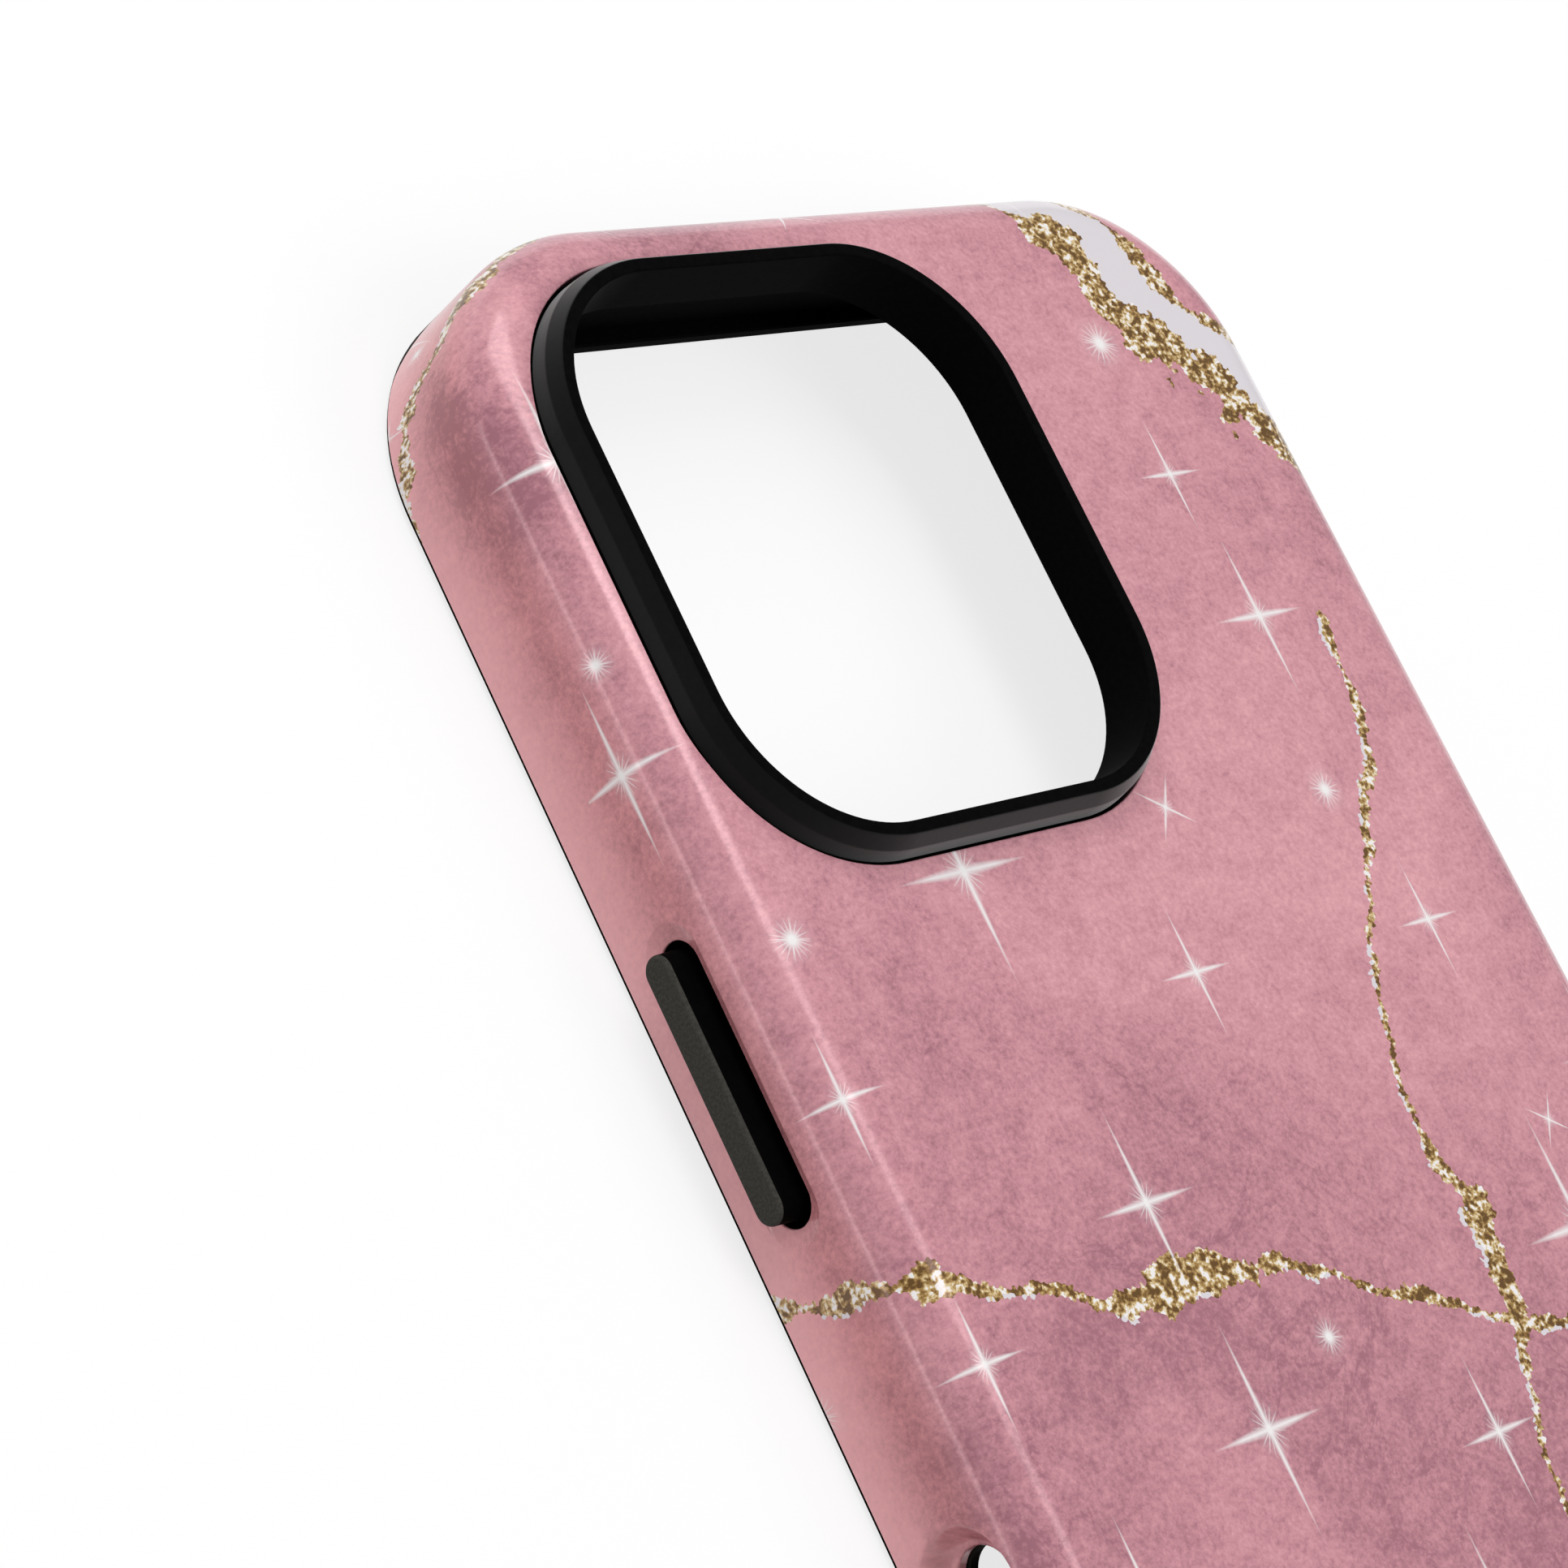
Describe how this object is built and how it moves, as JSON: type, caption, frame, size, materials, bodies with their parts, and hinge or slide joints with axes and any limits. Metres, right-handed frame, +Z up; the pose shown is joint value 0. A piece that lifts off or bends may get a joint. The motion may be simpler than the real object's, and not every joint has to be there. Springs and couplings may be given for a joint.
{
  "type": "phone case",
  "caption": "Two-layer tough phone case: glossy printed hard shell over a matt black soft liner, with a raised camera collar and sprung side button covers.",
  "frame": {"origin": "middle of the surface that the case lies on, which is its front lip", "axes": "+Z up towards the case's back, +Y towards the phone's top end, +X so that the cameras are at -X"},
  "size_m": [0.0824, 0.157, 0.0147],
  "materials": {
    "printed_shell": "glossy clear-coated polycarbonate with a rose marble print, gold-glitter veins and white bands",
    "liner_rubber": "matt black thermoplastic rubber",
    "button_rubber": "matt black rubber with a fine grain"
  },
  "bodies": {
    "case": {"outer_shell": "printed_shell", "inner_liner": "liner_rubber"},
    "power_button": {"power_button": "button_rubber"},
    "volume_up_button": {"volume_up_button": "button_rubber"},
    "volume_down_button": {"volume_down_button": "button_rubber"},
    "action_button": {"action_button": "button_rubber"}
  },
  "joints": [
    {"name": "power_button_press", "type": "slide", "parent": "case", "child": "power_button", "axis": [1, 0, 0], "range_m": [0, 0.0005], "stiffness_N_per_m": 400},
    {"name": "volume_up_button_press", "type": "slide", "parent": "case", "child": "volume_up_button", "axis": [-1, 0, 0], "range_m": [0, 0.0005], "stiffness_N_per_m": 400},
    {"name": "volume_down_button_press", "type": "slide", "parent": "case", "child": "volume_down_button", "axis": [-1, 0, 0], "range_m": [0, 0.0005], "stiffness_N_per_m": 400},
    {"name": "action_button_press", "type": "slide", "parent": "case", "child": "action_button", "axis": [-1, 0, 0], "range_m": [0, 0.0005], "stiffness_N_per_m": 400}
  ]
}
